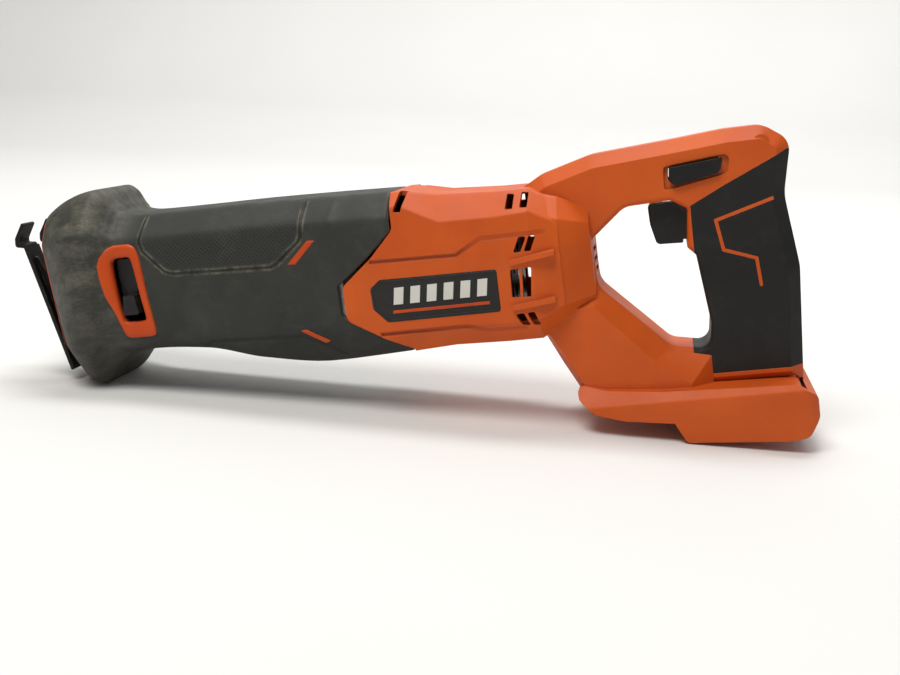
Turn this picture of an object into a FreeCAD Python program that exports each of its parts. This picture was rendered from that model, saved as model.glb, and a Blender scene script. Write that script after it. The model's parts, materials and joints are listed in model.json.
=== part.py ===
import FreeCAD, Part
import math
import os

V = FreeCAD.Vector

# ---- driving dimensions, mm. x runs rearward from the crank axis, z up from the plunger axis ----
STROKE = 28.6              # plunger travel
CRANK_R = STROKE / 2.0     # crank pin offset
MOTOR_Z = -22.0            # motor axis below the plunger axis
PINION_TEETH = 8
GEAR_TEETH = 48
MODULE = 1.25
GEAR_MID_R = 29.25         # middle of the face-gear tooth ring
PINION_R = MODULE * PINION_TEETH / 2.0
ROD_R = 8.0                # plunger rod
TAIL_R = 4.0               # plunger tail in the rear guide
RUN = 0.05                 # radial running clearance of turning and sliding fits
BODY_W = 43.0              # half width of the motor housing
BOOT_W = 41.5              # half width of the boot at the neck
BOOT_T = 3.5               # boot thickness
WALL = 3.0                 # housing wall
HANDLE_W = 17.5            # half width of the handle ring
FOOT_W = 39.0              # half width of the battery foot
SEAM = 0.7                 # gap between boot and motor housing
PIVOT = (-157.0, -18.0)    # shoe pivot, x and z
STAND = 10.0               # nose-down angle when standing on collar and foot, degrees
TRIGGER_TRAVEL = 6.5
LOCK_TRAVEL = 5.0

NODES = {}


# ---- shape helpers ----
def rounded(corners, place):
    """Closed wire through (a, b, r) corners; place turns (a, b) into a point."""
    n = len(corners)
    edges, spans = [], []
    for i in range(n):
        a, b, r = corners[i]
        p, q, s = place(a, b), place(*corners[i - 1][:2]), place(*corners[(i + 1) % n][:2])
        if r <= 0:
            spans.append((p, None, p))
            continue
        u, w = (q - p).normalize(), (s - p).normalize()
        half = u.getAngle(w) / 2.0
        t = r / math.tan(half)
        mid = (u + w).normalize() * (r / math.sin(half) - r)
        spans.append((p + u * t, p + mid, p + w * t))
    for i in range(n):
        start, mid, end = spans[i]
        if mid is not None:
            edges.append(Part.Arc(start, mid, end).toShape())
        nxt = spans[(i + 1) % n][0]
        if end.distanceToPoint(nxt) > 1e-4:
            edges.append(Part.makeLine(end, nxt))
    return Part.Wire(Part.__sortEdges__(edges))


def flat(corners, r=0.0):
    """Give plain (a, b) corners one common radius; (a, b, r) corners keep their own."""
    return [c if len(c) == 3 else (c[0], c[1], r) for c in corners]


def prism_y(corners, y0, y1, r=0.0):
    wire = rounded(flat(corners, r), lambda a, b: V(a, y0, b))
    return Part.Face(wire).extrude(V(0, y1 - y0, 0))


def prism_x(corners, x0, x1, r=0.0):
    wire = rounded(flat(corners, r), lambda a, b: V(x0, a, b))
    return Part.Face(wire).extrude(V(x1 - x0, 0, 0))


def prism_z(corners, z0, z1, r=0.0):
    wire = rounded(flat(corners, r), lambda a, b: V(a, b, z0))
    return Part.Face(wire).extrude(V(0, 0, z1 - z0))


def box(x0, x1, y0, y1, z0, z1):
    return Part.makeBox(x1 - x0, y1 - y0, z1 - z0, V(x0, y0, z0))


def rod_x(x0, x1, r, y=0.0, z=0.0):
    return Part.makeCylinder(r, x1 - x0, V(x0, y, z), V(1, 0, 0))


def rod_y(y0, y1, r, x=0.0, z=0.0):
    return Part.makeCylinder(r, y1 - y0, V(x, y0, z), V(0, 1, 0))


def rod_z(z0, z1, r, x=0.0, y=0.0):
    return Part.makeCylinder(r, z1 - z0, V(x, y, z0), V(0, 0, 1))


def ring_x(x0, x1, r_out, r_in, y=0.0, z=0.0):
    return rod_x(x0, x1, r_out, y, z).cut(rod_x(x0 - 1, x1 + 1, r_in, y, z))


def ring_z(z0, z1, r_out, r_in, x=0.0, y=0.0):
    return rod_z(z0, z1, r_out, x, y).cut(rod_z(z0 - 1, z1 + 1, r_in, x, y))


def octagon(w, zt, zb, tw, th, bw, bh, lean=2.8, mid=-3.0):
    """Body section: half width w, top zt, bottom zb, corner cuts, and sides leaning in above mid."""
    return [(-w + tw, zt), (w - tw, zt), (w - lean, zt - th), (w, mid), (w, zb + bh),
            (w - bw, zb), (-w + bw, zb), (-w, zb + bh), (-w, mid), (-w + lean, zt - th)]


def loft_x(sections, r, ruled=False):
    wires = []
    for x, corners in sections:
        wires.append(rounded(flat(corners, r), lambda a, b, x=x: V(x, a, b)))
    return Part.makeLoft(wires, True, ruled)


def join(*shapes):
    out = shapes[0].multiFuse(list(shapes[1:])) if len(shapes) > 1 else shapes[0]
    return out.removeSplitter()


def band(points, width, y0, y1):
    """Bar of constant width along a polyline, through the side."""
    bars = []
    for (x0, z0), (x1, z1) in zip(points, points[1:]):
        dx, dz = x1 - x0, z1 - z0
        n = math.hypot(dx, dz)
        ox, oz = -dz / n * width / 2, dx / n * width / 2
        bars.append(prism_y([(x0 + ox, z0 + oz), (x1 + ox, z1 + oz), (x1 - ox, z1 - oz), (x0 - ox, z0 - oz)],
                            y0, y1))
        bars.append(rod_y(y0, y1, width / 2, x1, z1))
    return join(*bars)


def coil(x, y, z, axis, length, r, wire, turns):
    """Spring wound along x or y from the point (x, y, z)."""
    helix = Part.makeHelix(length / turns, length, r)
    profile = Part.Wire(Part.makeCircle(wire, V(r, 0, 0), V(0, 1, 0)))
    spring = Part.Wire(helix).makePipeShell([profile], True, True)
    spring.rotate(V(0, 0, 0), V(0, 1, 0) if axis == "x" else V(1, 0, 0), 90 if axis == "x" else -90)
    spring.translate(V(x, y, z))
    return spring


def wire_run(points, r):
    """Round wire through the points."""
    curve = Part.BSplineCurve()
    curve.interpolate(points)
    spine = Part.Wire(curve.toShape())
    start = curve.value(curve.FirstParameter)
    tangent = curve.tangent(curve.FirstParameter)[0]
    return spine.makePipeShell([Part.Wire(Part.makeCircle(r, start, tangent))], True, True)


def biggest(shape):
    return max(shape.Solids, key=lambda s: s.Volume)


def mirror_y(shape):
    return shape.mirror(V(0, 0, 0), V(0, 1, 0))


def both(shape):
    return [shape, mirror_y(shape)]


def node(name, *solids):
    NODES[name] = list(solids)


# ---- boot envelope: neck over the gear case and the flared collar in front ----
def neck(t):
    """Neck loft, t millimetres inside the outer skin."""
    rows = [(-106, BOOT_W, 43.5, -41.0, 12), (-60, BOOT_W, 42.2, -44.5, 12), (-25, 42.0, 41.8, -54.0, 17),
            (20, 42.8, 40.5, -60.5, 23), (76, 43.0, 38.2, -58.0, 13)]
    return loft_x([(x, octagon(w - t, a - t, b + t, 14, 13, 14, c)) for x, w, a, b, c in rows], 8.0)


def collar(t, front, back):
    """Collar loft; each section has its own lean, x = x0 + lean * z."""
    rows = [(-156, -0.065, 30, 45.5), (-150, -0.03, 38, 51), (-140, 0.04, 46.5, 57.5), (-126, 0.12, 51.5, 61.4),
            (-119, 0.12, 49, 57.5), (-112, 0.08, 44.5, 48.5), (-102, 0.0, 41.0, 40.5)]
    wires = []
    for x, lean, w, h in rows:
        w, h = w - t, h - t
        cut = 0.42 * w
        corners = flat(octagon(w, h, -h, cut, 1.15 * cut, cut, 1.15 * cut, 0.6, 0.0), 9.0)
        wires.append(rounded(corners, lambda a, b, x=x, lean=lean: V(x + lean * b, a, b)))
    return Part.makeLoft(wires, True, False).common(box(front, back, -80, 80, -80, 80))


SPLIT = [(69.6, 60), (69.6, 17, 6), (54.7, 1.9, 3), (35.7, -13.1, 6), (35.7, -33.6, 6), (53.6, -44.1, 6),
         (72, -56), (72, -80), (-200, -80), (-200, 60)]
WINDOW_OUT = [(-115.5, 19.9, 3), (-106.5, 27.1, 4), (-92.5, 26.2, 4), (-89, 18, 4), (-84.5, -31.7, 3),
              (-105, -30.8, 4), (-112.5, -1.8, 20)]
WINDOW_IN = [(-107.7, 18.5, 3), (-95, 18.7, 3), (-90.2, -21.8, 3), (-105.4, -20.5, 3)]
PANEL = [(-82.4, 40), (-87.6, 27.2, 4), (-71.8, 6.3, 8), (-3.9, 3.3, 8), (13.4, 17.3, 5), (19.3, 36.0)]

neck_skin = neck(0.0)
neck_core = neck(BOOT_T)
boot_outer = join(neck_skin, collar(0.0, -180, -100))
split_front = prism_y(SPLIT, -80, 80)
split_back = prism_y([(SPLIT[0][0] + SEAM, 60), (SPLIT[1][0] + SEAM, 17, 6), (54.7 + SEAM, 1.9, 3),
                      (35.7 + SEAM, -13.1, 6), (35.7 + SEAM, -33.6, 6), (53.6 + SEAM, -44.1, 6),
                      (72 + SEAM, -56), (72 + SEAM, -80), (-200, -80), (-200, 60)], -80, 80)

front_room = join(collar(BOOT_T, -180, -102.0), neck_core.common(box(-104, -86, -80, 80, -80, 80)))
boot = boot_outer.common(split_front).cut(front_room).cut(neck_core)
window_out = prism_y(WINDOW_OUT, -60, -33)
window_in = prism_y(WINDOW_IN, -61, -30)
window_seat = boot_outer.cut(front_room)
window_frame = window_seat.common(window_out).cut(window_in)
boot = boot.cut(window_out)
panel_cut = prism_y(PANEL, -60, -39.6)
boot = boot.cut(panel_cut).cut(mirror_y(panel_cut))
stripe_hi = prism_y([(18, 17), (23.5, 16.3), (9.2, 2.8), (3.7, 3.4)], -60, -38.9, 0.8)
stripe_lo = prism_y([(6.1, -36.7), (10, -36.2), (23.3, -45.4), (19.6, -47.4)], -60, -36.0, 0.8)
accents = []
for piece in both(stripe_hi) + both(stripe_lo):
    accents.append(boot.common(piece))
    boot = boot.cut(piece)
boot_ring = collar(0.0, -180, -100).cut(collar(BOOT_T, -180, -100))
lip = prism_y([(-158.2, 80), (-147.8, -80), (-200, -80), (-200, 80)], -80, 80)
boot_ring = boot_ring.common(lip)
boot = boot.cut(lip)
node("boot", boot)
node("boot_front_ring", boot_ring)
node("boot_window_frame", window_frame)
node("boot_accents", *accents)

# ---- gear case: casting inside the boot, with nose, gear chamber and crank bearing boss ----
case = neck_core.common(box(-86, 36, -80, 80, -54.0, 37.0))
nose_room = ring_x(-87, -48, 60, 26)
case = case.cut(nose_room)
nose = ring_x(-97, -84, 20.0, 12.0)
lug = box(-88, -47, -13, 13, -37, -20).common(neck_core)
case = join(case, nose, rod_x(-88, -48, 26.0), lug)
case = case.cut(box(-89, -60, -9.0, 9.0, -30.5, -26.5))
chamber = prism_x([(-33.5, -20.5), (33.5, -20.5), (33.5, 30), (-33.5, 30)], -36, 36.1, 6.0)
CASE_BOLTS = [(-29.5, 21), (29.5, 21), (-31, -38), (31, -38)]
for y, z in CASE_BOLTS[:2]:
    chamber = chamber.cut(box(14, 40, min(y, y * 1.2) - 4.5, max(y, y * 1.2) + 4.5, z - 4.5, z + 14))
case = case.cut(chamber)
case = case.cut(rod_x(-98, -34, 12.0))
boss = rod_z(-50, -20.0, 17.0)
case = case.cut(box(-20, 36.1, -24, 24, -46, -20).cut(boss)).cut(rod_x(-10, 37, 10, 0, MOTOR_Z).cut(boss))
case = case.cut(rod_z(-46.0, -19, 13.0))
for y, z in CASE_BOLTS:
    case = case.cut(rod_x(20, 37, 2.5, y, z))
node("gear_case", case)

cover = neck(BOOT_T + 0.4).common(box(36, 46, -80, 80, -54.0, 37.0))
cover = cover.cut(rod_x(35, 47, 9.5, 0, MOTOR_Z)).cut(rod_x(35, 47, 6.5))
for y, z in CASE_BOLTS:
    cover = cover.cut(rod_x(35, 47, 2.6, y, z))
node("gear_case_cover", cover)
node("gear_case_bolts", *[join(rod_x(21, 46, 2.5, y, z), rod_x(46, 50, 4.6, y, z).cut(
    prism_x([(y + 2.3 * math.cos(k * math.pi / 3), z + 2.3 * math.sin(k * math.pi / 3)) for k in range(6)],
            47.5, 51))) for y, z in CASE_BOLTS])

# ---- plunger, yoke and guides; rest position is the front end of the stroke ----
PIN_X = -CRANK_R
blade_slot = box(-151, -128, -0.9, 0.9, -6.5, 6.5)
yoke = prism_z([(PIN_X - 10, -24), (PIN_X + 10, -24), (PIN_X + 10, 24), (PIN_X - 10, 24)], -7, 7, 3.0)
yoke = yoke.cut(prism_z([(PIN_X - 7 - RUN, -21.6), (PIN_X + 7 + RUN, -21.6), (PIN_X + 7 + RUN, 21.6),
                         (PIN_X - 7 - RUN, 21.6)], -8, 8, 6.9))
plunger = join(yoke, rod_x(-150, PIN_X - 8, ROD_R), rod_x(PIN_X + 8, 32, TAIL_R))
node("plunger", plunger.cut(blade_slot).cut(rod_y(-10, 10, 1.5, -136, 0)))
node("crank_pin", rod_z(-10.7, 8.0, 4.0, PIN_X, 0))
node("crank_roller", ring_z(-6.5, 6.5, 7.0, 4.0 + RUN, PIN_X, 0))
node("plunger_front_bush", ring_x(-84, -40, 12.0, ROD_R + RUN))
node("plunger_seal", ring_x(-90, -84.3, 12.0, ROD_R + 0.3))
node("felt_wiper", ring_x(-96, -90.4, 12.0, ROD_R + 0.3))
node("plunger_rear_bush", ring_x(28, 44, 6.5, TAIL_R + RUN))

# ---- crank gear on its upright shaft ----
GEAR_ROOT = MOTOR_Z + PINION_R + 1.4
gear = ring_z(GEAR_ROOT, -11.0, 31.5, 6.0).cut(ring_z(GEAR_ROOT - 1, -13.2, 26.0, 12.0))
gear = join(gear, ring_z(-20.0, -11.0, 12.0, 6.0))
teeth = []
for k in range(GEAR_TEETH):
    r0, r1 = GEAR_MID_R - 1.75, GEAR_MID_R + 1.75
    tooth = prism_z([(r0, -0.62), (r1, -0.70), (r1, 0.70), (r0, 0.62)], GEAR_ROOT - 2.4, GEAR_ROOT + 0.2)
    tooth.rotate(V(0, 0, 0), V(0, 0, 1), (k + 0.5) * 360.0 / GEAR_TEETH)
    teeth.append(tooth)
gear = gear.multiFuse(teeth)
for angle in (130, 155, 180, 205, 230):
    turn = math.radians(angle)
    gear = gear.cut(rod_z(-14, -10, 3.2, 19 * math.cos(turn), 19 * math.sin(turn)))
node("crank_gear", gear)
node("crank_shaft", rod_z(-45.0, -11.0, 6.0))
node("crank_bearings", ring_z(-30.0, -21.0, 13.0, 6.0 + RUN), ring_z(-45.5, -36.5, 13.0, 6.0 + RUN))

# ---- motor: can, magnets, armature, brush gear, end cap ----
pinion = rod_x(26, 34, 3.6, 0, MOTOR_Z)
leaves = []
for k in range(PINION_TEETH):
    root, mid, tip = MOTOR_Z + 3.2, MOTOR_Z + PINION_R, MOTOR_Z + PINION_R + 1.1
    leaf = prism_x([(-0.78, root), (0.78, root), (0.66, mid), (0.4, tip), (-0.4, tip), (-0.66, mid)], 26, 34)
    leaf.rotate(V(0, 0, MOTOR_Z), V(1, 0, 0), k * 360.0 / PINION_TEETH)
    leaves.append(leaf)
pinion = pinion.multiFuse(leaves).removeSplitter().cut(rod_x(25, 35, 2.5, 0, MOTOR_Z))
node("motor_pinion", pinion)
node("motor_shaft", join(rod_x(24.5, 36, 2.5, 0, MOTOR_Z), rod_x(36, 136, 4.0, 0, MOTOR_Z)))
node("motor_front_bearing", ring_x(38, 45, 9.5, 4.0 + RUN, 0, MOTOR_Z))
node("motor_rear_bearing", ring_x(129, 135, 8.5, 4.0 + RUN, 0, MOTOR_Z))
fan = join(rod_x(63, 65, 26, 0, MOTOR_Z), rod_x(63, 71, 8, 0, MOTOR_Z))
for k in range(16):
    blade = box(64, 70, -0.7, 0.7, MOTOR_Z + 7, MOTOR_Z + 25)
    blade.rotate(V(0, 0, MOTOR_Z), V(1, 0, 0), k * 22.5)
    fan = fan.fuse(blade)
node("motor_fan", fan.cut(rod_x(60, 73, 4.0, 0, MOTOR_Z)))
can = ring_x(74, 118, 31.0, 29.0, 0, MOTOR_Z)
can = join(can, ring_x(74, 76, 30, 10, 0, MOTOR_Z))
for k in range(6):
    can = can.cut(rod_x(73, 77, 4, 20 * math.cos(k * math.pi / 3), MOTOR_Z + 20 * math.sin(k * math.pi / 3)))
node("motor_can", can)
magnet_ring = ring_x(80, 114, 29.0, 23.0, 0, MOTOR_Z)
node("motor_magnets", magnet_ring.common(box(79, 115, 4, 40, -60, 20)),
     magnet_ring.common(box(79, 115, -40, -4, -60, 20)))
core = ring_x(82, 112, 22.4, 4.0, 0, MOTOR_Z)
for k in range(12):
    notch = box(81, 113, -1.2, 1.2, MOTOR_Z + 12, MOTOR_Z + 24)
    notch.rotate(V(0, 0, MOTOR_Z), V(1, 0, 0), k * 30)
    core = core.cut(notch)
node("armature_core", core)
node("armature_windings", ring_x(77.5, 82, 19, 6, 0, MOTOR_Z), ring_x(112, 116, 19, 10.5, 0, MOTOR_Z))
comm = ring_x(114, 127, 10.0, 4.0, 0, MOTOR_Z)
for k in range(12):
    notch = box(116, 128, -0.3, 0.3, MOTOR_Z + 9, MOTOR_Z + 11)
    notch.rotate(V(0, 0, MOTOR_Z), V(1, 0, 0), k * 30)
    comm = comm.cut(notch)
node("commutator", comm)
cap = rod_x(118, 136, 31.0, 0, MOTOR_Z).cut(rod_x(117, 128, 28.0, 0, MOTOR_Z))
cap = cap.cut(rod_x(127, 137, 8.5, 0, MOTOR_Z))
for k in range(8):
    a = (k + 0.5) * math.pi / 4
    cap = cap.cut(rod_x(127, 137, 4.5, 19 * math.cos(a), MOTOR_Z + 19 * math.sin(a)))
for s in (-1, 1):
    cap = cap.cut(box(119, 127, min(s * 26, s * 33), max(s * 26, s * 33), MOTOR_Z - 4.2, MOTOR_Z + 4.2))
node("motor_end_cap", cap)
card = ring_x(124.5, 127.5, 27.9, 11.5, 0, MOTOR_Z)
for s in (-1, 1):
    tray = box(118.6, 124.5, min(s * 14, s * 27), max(s * 14, s * 27), MOTOR_Z - 4.5, MOTOR_Z + 4.5)
    card = card.fuse(tray)
for s in (-1, 1):
    card = card.cut(box(119.5, 124.4, min(s * 10, s * 28), max(s * 10, s * 28), MOTOR_Z - 3.3, MOTOR_Z + 3.3))
node("brush_card", card.removeSplitter())
node("motor_brushes", *[box(119.7, 124.2, min(s * 10.06, s * 19), max(s * 10.06, s * 19), MOTOR_Z - 3.1,
                            MOTOR_Z + 3.1) for s in (-1, 1)])
node("brush_springs", coil(122.0, 19.6, MOTOR_Z, "y", 6.6, 1.9, 0.35, 6),
     mirror_y(coil(122.0, 19.6, MOTOR_Z, "y", 6.6, 1.9, 0.35, 6)))

# ---- motor housing, handle ring, leg and battery foot: one envelope, hollowed, then split at y = 0 ----
BARREL = [(34, BODY_W, 39.9, -60.3, 12, 8, 13, 12), (76, BODY_W, 38.2, -57.6, 12, 8, 13, 12),
          (98, BODY_W, 33.7, -56.5, 17, 15, 14, 13), (130, BODY_W, 31.5, -57.4, 17, 13.5, 14, 13),
          (150, BODY_W - 1, 31.0, -57.5, 17, 12, 14, 13), (166, BODY_W - 5.5, 22.0, -49.0, 15, 12, 12, 12)]


def barrel(t):
    secs = [(x, octagon(w - t, a - t, b + t, tw, th, bw, bh)) for x, w, a, b, tw, th, bw, bh in BARREL]
    front = loft_x(secs[:3], 3.0, True)
    middle = loft_x(secs[2:5], 3.0, True)
    rear = loft_x(secs[4:], 3.0, True)
    return join(front, middle, rear)


RING_OUT = [(146, 31), (157, 37, 10), (187.1, 45.1, 30), (233, 48.1, 60), (264.9, 50.6, 40), (286, 50.4, 13),
            (300.5, 40, 11), (294.8, 10, 30), (300.5, -32, 30), (297.5, -100), (186, -100),
            (166.5, -86.5, 12), (158.5, -74, 30), (150.5, -56, 30), (144, -40)]
RING_CORE = [(146, 31), (157, 35, 10), (187.1, 43.3, 30), (233, 46.3, 60), (264.9, 48.8, 40), (285, 48.6, 12),
             (298.4, 39, 10), (293.0, 10, 30), (298.7, -32, 30), (295.7, -100), (186, -100),
             (166.5, -86.5, 12), (158.5, -74, 30), (150.5, -56, 30), (144, -40)]
D_HOLE = [(183.3, -4.0, 5), (204.1, 13.0, 12), (231.0, 13.9, 5), (239.8, 8, 2.5), (237.6, -14.3, 3),
          (242.4, -19.2, 3), (247.5, -60, 15), (245.5, -75.5, 7), (223.5, -71.5, 12), (184.3, -31.5, 12)]
D_CORE = [(183.3, -4.0, 5), (204.1, 13.0, 12), (231.0, 15.7, 5), (241.8, 8, 2.5), (239.4, -14.3, 3),
          (244.2, -19.2, 3), (249.3, -60, 15), (246.5, -77, 7), (223.5, -71.5, 12), (184.3, -31.5, 12)]
LEG = [(150, -40), (176, -36, 6), (184.3, -33.5, 6), (223.5, -73.5, 8), (246, -79), (246, -100), (172, -100),
       (158.5, -74, 8), (150, -56)]
LEG_SIDE = [(150, -43), (172, -42, 6), (180.5, -41.5, 6), (213, -77.5, 8), (233, -93), (233, -100), (177, -100),
            (165, -76, 8), (154, -56)]


def near_side_edges(shape, y, tol, inside):
    """Edges lying in the plane |y| that pass the test."""
    return [e for e in shape.Edges if all(abs(abs(v.Point.y) - y) < tol for v in e.Vertexes)
            and abs(abs(e.CenterOfMass.y) - y) < tol and inside(e.CenterOfMass)]


def handle(outline, opening, half, cut):
    ring = prism_y(outline, -half, half)
    if cut:
        ring = ring.makeChamfer(cut, near_side_edges(ring, half, 0.01, lambda c: True))
    ring = ring.cut(prism_y(opening, -half - 1, half + 1)).Solids[0]
    if cut:
        rims = near_side_edges(ring, half, 0.01, lambda c: 180 < c.x < 250 and -80 < c.z < 16)
        ring = ring.makeFillet(3.5, rims)
    return ring


ring_solid = handle(RING_OUT, D_HOLE, HANDLE_W, 7.5)
leg_core = prism_y(LEG, -17.5, 17.5)
leg_flank = Part.makeLoft([rounded(flat(LEG), lambda a, b: V(a, -17.5, b)),
                           rounded(flat(LEG_SIDE), lambda a, b: V(a, -28.0, b))], True, True)
leg_solid = join(leg_core, leg_flank, mirror_y(leg_flank))
FOOT = [(166.3, -87, 3.5), (184, -91.8, 30), (217, -94.5), (292, -96.5, 6), (303, -104, 6), (303, -117, 6),
        (296, -127.5, 6), (284, -128.6), (227.5, -125.0, 4), (221.5, -113.0), (192.3, -109.2, 10),
        (176.4, -104.3, 8), (167.5, -95.5, 5)]
foot_solid = prism_y(FOOT, -FOOT_W, FOOT_W)
foot_solid = foot_solid.common(prism_x([(-FOOT_W, -135), (FOOT_W, -135), (FOOT_W, -100), (26, -84), (-26, -84),
                                        (-FOOT_W, -100)], 150, 310, 3.0))
foot_solid = foot_solid.common(prism_z([(160, -FOOT_W), (304, -FOOT_W), (304, FOOT_W), (160, FOOT_W)],
                                       -135, -80, 9.0))
bridge = loft_x([(150, octagon(39, 29, -53, 15, 12, 14, 13, 2.6)),
                 (166, octagon(36.5, 24, -50, 14, 12, 12, 12, 2.0)),
                 (183.2, octagon(24.0, 15, -43, 8, 8, 8, 8, 1.0))], 2.0, True)
hull = join(barrel(0.0), bridge, ring_solid, leg_solid, foot_solid)
hull = hull.cut(split_back)

room_barrel = barrel(WALL).common(box(30, 161, -80, 80, -80, 80))
room_ring = prism_y([(150, 20), (190, 38, 10), (233, 44, 20), (284, 46, 5), (294.5, 38, 4), (290, 8, 20),
                     (296, -32, 20), (293.5, -99), (252, -99), (252, -60), (247, -19.5), (246, 12),
                     (236, 18.5, 4), (204, 17.5, 8), (182, 4, 4), (178, -6, 4), (150, -6)], -14.0, 14.0)
room_leg = prism_y([(150, -44), (178, -34, 4), (218, -74, 4), (235, -80), (235, -90), (172, -86, 4),
                    (161, -73, 4), (154, -54)], -14.0, 14.0)
room_foot = box(178, 297, -34, 34, -105, -98)
dock = box(222, 310, -29.0, 29.0, -132, -109.5)
dock = dock.cut(box(226, 297, -29, -24.5, -124, -119)).cut(box(226, 297, 24.5, 29, -124, -119))
block_seat = box(236, 262, -16, 16, -109.6, -104)
hull = hull.cut(room_barrel).cut(room_ring).cut(room_leg).cut(room_foot).cut(dock).cut(block_seat)

# seat for the motor, dividing the barrel room
rib_front = ring_x(100, 104, 60, 31.0, 0, MOTOR_Z).common(barrel(1.0))
rib_rear = ring_x(126, 130, 60, 31.0, 0, MOTOR_Z).common(barrel(1.0))
hull = join(hull, rib_front, rib_rear)

# screw bosses
SCREWS = [(88, 23), (127, 22), (205, 30), (284, 41), (283, -60), (176, -66), (213, -84), (158, -43)]
for x, z in SCREWS:
    hull = hull.fuse(rod_y(-44, 44, 4.6, x, z).common(
        join(barrel(1.5), handle(RING_OUT, D_HOLE, HANDLE_W - 1, 0), leg_solid)))
screws = []
for x, z in SCREWS:
    head = 10.0
    hull = hull.cut(rod_y(head, 60, 4.2, x, z)).cut(rod_y(-12, head + 1, 1.9, x, z))
    driver = prism_y([(x + 1.6 * math.cos(k * math.pi / 3), z + 1.6 * math.sin(k * math.pi / 3))
                      for k in range(6)], head + 1.4, head + 4)
    screws.append(join(rod_y(-11.5, head, 1.9, x, z), rod_y(head, head + 3, 3.7, x, z)).cut(driver))
node("housing_screws", *screws)

# outside details of the barrel: badge seats, step grooves, vents, fins
BADGE = [(59.3, -11.1, 3), (53, -16, 3), (53.4, -28.3, 3), (61.3, -36.8, 3), (129, -36.8, 2), (129.1, -12, 2)]
badge_slab = prism_y(BADGE, -44, -42.0)
badges = [s.common(barrel(0.0)) for s in both(badge_slab)]
hull = hull.cut(badge_slab).cut(mirror_y(badge_slab))

for line in ([(54.9, -0.3), (106.5, -1.5), (121.4, 6.5), (157.9, 6.4)],
             [(56.2, -43.7), (107.9, -43.6), (120.9, -47.5), (141.7, -48.3)]):
    cutter = band(line, 1.8, -60, -41.9)
    hull = hull.cut(cutter).cut(mirror_y(cutter))
VENTS = [[(143.8, 5.0), (148.2, 5.0), (144.0, -3.8), (139.6, -3.8)],
         [(149.6, 5.0), (153.6, 5.0), (149.8, -3.8), (145.8, -3.8)],
         [(136.8, -13.2), (142.2, -13.1), (141.2, -29.9), (136.3, -29.6)],
         [(143.8, -13.1), (149.2, -12.9), (147.3, -30.2), (142.8, -30.0)],
         [(137.0, -39.4), (142.0, -39.2), (145.4, -46.9), (140.6, -46.4)],
         [(143.8, -39.1), (148.2, -39.0), (151.2, -47.4), (147.0, -47.0)]]
for corners in VENTS:
    slot = prism_y(corners, -60, -36, 1.0)
    hull = hull.cut(slot).cut(mirror_y(slot))
top_vents = [prism_y([(x + 1.5, 29.4), (x + 5.5, 28.8), (x + 4.4, 20.7), (x, 20.9)], -60, -22, 0.8)
             for x in (137.0, 145.5)]
for slot in top_vents + [prism_y([(76.0, 38.5), (80.5, 38.0), (76.4, 26.5), (72.0, 27.0)], -60, -24, 0.8)]:
    hull = hull.cut(slot).cut(mirror_y(slot))
fins = []
for x0, z0, x1, z1 in ((137.2, -9.2, 163.5, -6.0), (135.8, -35.6, 161.5, -33.2)):
    fin = prism_y([(x0, z0 + 1.6), (x1, z1 + 1.8), (x1, z1 - 1.2), (x0, z0 - 1.6)], -44.5, -38.0, 1.0)
    fins += both(fin)
hull = join(hull, *[f.cut(room_barrel) for f in fins])
rear_slit = box(178, 190, -10, 10, -24, -21)
for dz in (0, 6, 12):
    cutter = rear_slit.copy()
    cutter.translate(V(0, 0, dz))
    hull = hull.cut(cutter)

# openings for trigger and lock bar
hull = hull.cut(box(234, 250, -8.4, 8.4, -12.6, 12.2))
LOCK = [(231.5, 32.8, 1.5), (230.9, 25.7, 1.5), (234.6, 22.2, 1.5), (259.1, 26.9, 2), (262.2, 35.4, 2)]
lock_wire = rounded(LOCK, lambda a, b: V(a, -30, b)).makeOffset2D(0.35, 0)
hull = hull.cut(Part.Face(lock_wire).extrude(V(0, 60, 0)))
POCKET = [(228.5, 33.6, 2), (227.8, 19.8, 2), (264.0, 26.0, 3), (266.0, 37.2, 3)]
pocket = prism_y(POCKET, -30, -HANDLE_W + 2.2)
hull = hull.cut(pocket).cut(mirror_y(pocket))

# soft grip skins
GRIP = [(241.6, 9.6), (262, 19.5, 6), (297.8, 35.5), (310, 36), (310, -90), (236, -90), (236, -20.5),
        (241.6, -17)]
INLAY = [(288.3, 9.1), (255.2, -0.3), (258.2, -17.7), (276.2, -24.3), (277.6, -40.0)]
grip_region = prism_y(GRIP, -30, 30).cut(band(INLAY, 2.0, -30, 30))
skin = ring_solid.cut(handle(RING_CORE, D_CORE, HANDLE_W - 1.8, 6.5)).common(grip_region)
skin = skin.cut(box(230, 244, -8.6, 8.6, -19, 14)).cut(foot_solid).cut(leg_solid)
hull = hull.cut(skin)

left_room = box(20, 320, -90, 0, -140, 70)
right_room = box(20, 320, 0, 90, -140, 70)
node("housing_left", biggest(hull.common(left_room)))
node("housing_right", biggest(hull.common(right_room)))
node("grip_skin_left", biggest(skin.common(left_room)))
node("grip_skin_right", biggest(skin.common(right_room)))
node("badge_left", badges[0])
node("badge_right", badges[1])

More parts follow.
